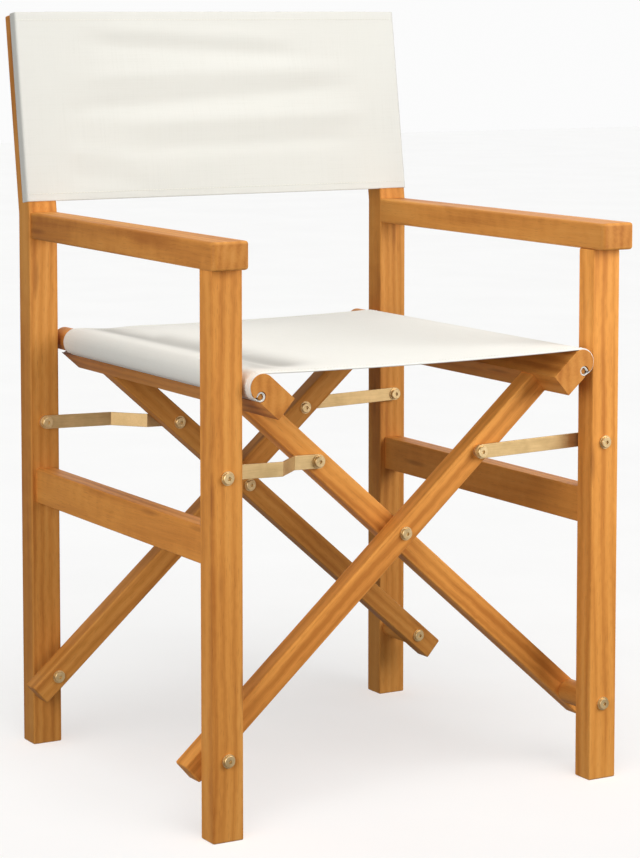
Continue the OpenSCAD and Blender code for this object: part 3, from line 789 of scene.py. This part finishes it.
def make_seat():
    """The seat sheet: its section runs from the left groove over the middle to the right groove."""
    half = seat_section()
    section = np.concatenate([half * (-1, 1), half[::-1][1:]])
    top_z = half[-1][1]
    columns = columns_between(SEAT_LOW.y, SEAT_HIGH.y, SEAT_STEP)
    x = across_cloth(section[:, 0], columns)
    z = across_cloth(section[:, 1], columns)
    y = np.repeat(columns[None], len(section), 0)

    # The sag and the folds fade out where the cloth meets the rails
    flat_edge = ROUND_REACH * BRACE_COS - RAIL_LIFT * BRACE_SIN
    lift = -SEAT_SAG * (1 - (np.clip(np.abs(x) / flat_edge, 0, 1)) ** 2)
    lift += sum(fold(x, y, *ridge) for ridge in SEAT_FOLDS)
    settle = smooth((flat_edge - np.abs(x)) / SEAT_SETTLE)
    z = z + np.where(z > top_z - 0.05 * MM, lift * settle, 0)
    middle = np.stack([x, y, z], 2)
    normals = normals_of(middle, len(section) // 2, (0, 0, 1))

    # The turned-in edges fade out before the loops, which are a little thicker than the sheet
    length = path_length(section)
    distance = np.minimum(length, length[-1] - length)[:, None]
    turned_in = smooth((distance - SEAT_TURNED_IN) / TURNED_IN_EASE)
    in_loop = 1 - smooth((distance - LOOP_LENGTH) / LOOP_EASE)
    under = (hem_depth(y - SEAT_LOW.y) + hem_depth(SEAT_HIGH.y - y)) * turned_in + LOOP_EXTRA * in_loop
    uv = np.stack([across_cloth(length, columns), y], 2)
    piece = cloth_mesh("seat_sling", middle, normals, np.array((0.0, 1.0, 0.0)), under, uv, seat_cloth)
    # Painted shade along the crease, stored on the mesh for the canvas material
    paint_crease_shade(piece.data, top_z - CREASE_SHADE_DEPTH)

    inner_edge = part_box("left_seat_rail")[1].x
    start, end = (inner_edge, 0, 0), (-inner_edge, 0, 0)
    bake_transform(piece)
    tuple(start)
    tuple(end)
    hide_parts("seat_canvas_left", "seat_canvas_right")
    lines = hem_lines(middle, normals, columns, distance[:, 0] > SEAT_STITCHED)
    seams = stitches("seat_stitching", lines, start, end)


# The back: two halves that meet in the middle, each from its own post's groove. The places of its folds are
# x and the height up the post from its bend: start, end, half width and height.
BACK_FOLDS = (
    ((-0.160, 0.220), (0.090, 0.206), 0.010, 0.9 * MM),
    ((-0.160, 0.199), (0.110, 0.185), 0.011, -1.9 * MM),
    ((-0.170, 0.160), (0.165, 0.167), 0.012, 1.9 * MM),
    ((-0.190, 0.122), (0.180, 0.143), 0.011, -1.9 * MM),
    ((-0.125, 0.103), (0.205, 0.111), 0.011, 1.9 * MM),
    ((-0.110, 0.073), (0.180, 0.079), 0.011, -1.7 * MM),
    ((-0.205, 0.072), (-0.110, 0.058), 0.010, 1.0 * MM),
    ((-0.205, 0.044), (-0.100, 0.030), 0.010, -0.9 * MM),
)
BACK_STEP = 3.5 * MM
POST_EASE = 3 * MM
BACK_LOOP = 4.0 * MM
BACK_SETTLE = 30 * MM
BACK_STITCHED = 32 * MM
# Two places across the back, a little over the post's inner edge and just past it, passed to the back's stitches
# as start and end
BLEND_OVER_POST = 1 * MM
BLEND_PAST_POST = 6 * MM
BEND_ZONE = 8 * MM
BACK_LOOP_TURN = (40, 335)
FACE_GAP = 0.2 * MM
# Radii of the cloth round the lip of the groove and round the post's front corner
LIP = 1.6 * MM
CORNER = 2.2 * MM


def back_section():
    """Half of the back's section as (x, behind), from the free end round the rod to the middle."""
    groove = (BACK_GROOVE_X, BACK_GROOVE_BEHIND)
    side_x = POST_OUTER + FACE_GAP + CLOTH / 2
    front = -FACE_GAP - CLOTH / 2
    section = arc(groove, BACK_LOOP, *BACK_LOOP_TURN, 1 * MM)
    section += [(POST_OUTER - 1.4 * MM, BACK_GROOVE_BEHIND - 0.9 * MM)]
    section += arc((side_x - LIP, BACK_GROOVE_BEHIND - LIP - 1 * MM), LIP, 80, 0, 0.8 * MM)
    section += [(side_x, b) for b in spaced(BACK_GROOVE_BEHIND - 4 * MM, front + CORNER + 1 * MM, 2 * MM)]
    section += arc((side_x - CORNER, front + CORNER), CORNER, 0, -90, 0.6 * MM)
    section += [(x, front) for x in spaced(side_x - CORNER - 2 * MM, POST_INNER + 2 * MM, 4 * MM)]
    # Closer together beside the post, where the real chair's cloth bends as its back folds
    section += [(x, front) for x in spaced(POST_INNER, POST_INNER - BEND_ZONE, 1.6 * MM)[:-1]]
    section += [(x, front) for x in spaced(POST_INNER - BEND_ZONE, 0, 5 * MM)]
    return np.array(section)


def make_back(side, word):
    """One half of the back, on the side of word (side is -1 left, 1 right)."""
    section = back_section()
    columns = columns_between(BACK_START, BACK_START + BACK_HEIGHT, BACK_STEP)
    x = across_cloth(section[:, 0], columns) * side
    behind = across_cloth(section[:, 1], columns)
    up = np.repeat(columns[None], len(section), 0)
    settle = smooth((POST_INNER - np.abs(x)) / BACK_SETTLE) * (behind < 0)
    behind = behind - sum(fold(x, up, *ridge) for ridge in BACK_FOLDS) * settle
    y = REAR_FRONT + behind * LEAN_COS + up * LEAN_SIN
    z = LEAN_Z - behind * LEAN_SIN + up * LEAN_COS
    middle = np.stack([x, y, z], 2)
    normals = normals_of(middle, -3, (0, -1, 0))

    # The turned-in edges fade out where the cloth lies on the post
    on_post = smooth((np.abs(x) - POST_INNER + POST_EASE) / POST_EASE)
    under = (hem_depth(up - BACK_START) + hem_depth(BACK_START + BACK_HEIGHT - up)) * (1 - on_post)
    length = path_length(section)
    uv = np.stack([across_cloth(side * (length - length[-1]), columns), up], 2)
    axis = np.array((0.0, LEAN_SIN, LEAN_COS))
    piece = cloth_mesh(f"back_sling_{word}", middle, normals, axis, under, uv, back_cloth)

    start = (side * (POST_INNER + BLEND_OVER_POST), 0, 0)
    end = (side * (POST_INNER - BLEND_PAST_POST), 0, 0)
    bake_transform(piece)
    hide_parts(f"back_canvas_{word}", f"back_sleeve_{word}")
    lines = hem_lines(middle, normals, columns, length > BACK_STITCHED)
    seams = stitches(f"back_stitching_{word}", lines, start, end)


make_seat()
make_back(-1, "left")
make_back(1, "right")


# ---- studio ----

FLOOR_HALF = 14.0
AMBIENT = 0.15
SHEEN_ROOM = 0.42
BACKDROP = 0.97

FLOOR_WASH = 2.45
FLOOR_SUN = 0.82
FLOOR_SUN_FROM = (-20, 62)
FLOOR_SUN_ANGLE = 50

SOFTBOX_SIZE = 1.0
SOFTBOX_TARGET = Vector((0, -0.10, 0.45))
# Name, azimuth, elevation, distance in metres and power in watts
SOFTBOXES = (
    ("side_softbox", -95, 10, 1.6, 2.4),
    ("left_softbox", -60, 10, 1.6, 13.1),
    ("right_softbox", 40, 20, 1.6, 21.9),
    ("top_softbox", 0, 85, 1.5, 14.5),
)

CAMERA_LENS = 115.14
CAMERA_SHIFT = -0.20
CAMERA_FROM = (-30.095, 5.154)
CAMERA_PLACE = (-1.58235, -2.75817, 0.87820)


def towards(azimuth, elevation):
    """The direction of an azimuth (0 is the front, 90 the right) and an elevation, in degrees."""
    a, e = math.radians(azimuth), math.radians(elevation)
    return Vector((math.sin(a) * math.cos(e), -math.cos(a) * math.cos(e), math.sin(e)))


def studio_floor():
    """A plain pale floor, which adds nothing to the light on the chair."""
    low, high = -FLOOR_HALF, FLOOR_HALF
    corners = [(low, low, 0), (high, low, 0), (high, high, 0), (low, high, 0)]
    mesh = bpy.data.meshes.new("studio_floor")
    mesh.from_pydata(corners, [], [(0, 1, 2, 3)])
    paper = Nodes("studio_paper")
    cloud = paper.noise(paper.add("ShaderNodeTexCoord").outputs["Object"], 3.0)
    colour = paper.ramp(cloud, [(0.3, (0.90, 0.90, 0.895)), (0.7, (0.92, 0.92, 0.915))])
    piece = place("studio_floor", mesh, paper.finish(Base_Color=colour, Roughness=0.9))
    piece.visible_diffuse = False
    piece.visible_glossy = False
    return piece


def studio_world():
    """White all round: bright behind the chair, dimmer in its reflections and dimmest in its light."""
    world = bpy.data.worlds.new("studio_world")
    bpy.context.scene.world = world
    world.use_nodes = True
    tree = world.node_tree
    background = tree.nodes["Background"]
    background.inputs["Color"].default_value = (1.0, 1.0, 1.0, 1.0)
    path = tree.nodes.new("ShaderNodeLightPath")
    around = tree.nodes.new("ShaderNodeMix")
    around.inputs["A"].default_value = AMBIENT
    around.inputs["B"].default_value = SHEEN_ROOM
    tree.links.new(path.outputs["Is Glossy Ray"], around.inputs["Factor"])
    strength = tree.nodes.new("ShaderNodeMix")
    strength.inputs["B"].default_value = BACKDROP
    tree.links.new(path.outputs["Is Camera Ray"], strength.inputs["Factor"])
    tree.links.new(around.outputs["Result"], strength.inputs["A"])
    tree.links.new(strength.outputs["Result"], background.inputs["Strength"])


def receivers(name, state):
    """A light's list of what it lights: all but the floor (EXCLUDE) or the floor alone (INCLUDE)."""
    group = bpy.data.collections.new(name)
    group.objects.link(floor)
    group.collection_objects[0].light_linking.link_state = state
    return group


def lamp(name, kind, azimuth, elevation, energy, lit):
    """A lamp that shines from azimuth and elevation on what is lit."""
    light = bpy.data.lights.new(name, kind)
    light.energy = energy
    holder = bpy.data.objects.new(name, light)
    bpy.context.scene.collection.objects.link(holder)
    holder.rotation_euler = towards(azimuth, elevation).to_track_quat("Z", "Y").to_euler()
    holder.light_linking.receiver_collection = lit
    return holder


def softbox(name, azimuth, elevation, distance, power):
    """A square softbox that faces the chair."""
    holder = lamp(name, "AREA", azimuth, elevation, power, all_but_floor)
    holder.data.shape = "SQUARE"
    holder.data.size = SOFTBOX_SIZE
    holder.location = SOFTBOX_TARGET + towards(azimuth, elevation) * distance


def sun(name, azimuth, elevation, strength, angle, lit, shadow=True):
    """A sun whose shadows are as soft as its angle in degrees, or that throws none."""
    holder = lamp(name, "SUN", azimuth, elevation, strength, lit)
    holder.data.angle = math.radians(angle)
    holder.data.use_shadow = shadow


floor = studio_floor()
studio_world()

# The softboxes light the chair alone. The floor has suns of its own, one of them without a shadow, so that
# it stays an even pale tone.
all_but_floor = receivers("lit_by_the_softboxes", "EXCLUDE")
floor_alone = receivers("lit_by_the_floor_sun", "INCLUDE")
for softbox_values in SOFTBOXES:
    softbox(*softbox_values)
sun("floor_sun", *FLOOR_SUN_FROM, FLOOR_SUN, FLOOR_SUN_ANGLE, floor_alone)
sun("floor_wash", *FLOOR_SUN_FROM, FLOOR_WASH, FLOOR_SUN_ANGLE, floor_alone, shadow=False)
sun("rear_fill", 150, 14, 0.8, 60, all_but_floor)

camera_data = bpy.data.cameras.new("photo_camera")
camera_data.lens = CAMERA_LENS
camera_data.shift_y = CAMERA_SHIFT
camera = bpy.data.objects.new("photo_camera", camera_data)
bpy.context.scene.collection.objects.link(camera)
bpy.context.scene.camera = camera
camera.rotation_mode = "QUATERNION"
camera.rotation_quaternion = (-towards(*CAMERA_FROM)).to_track_quat("-Z", "Y")
camera.location = CAMERA_PLACE
bpy.context.scene.view_settings.view_transform = "Standard"
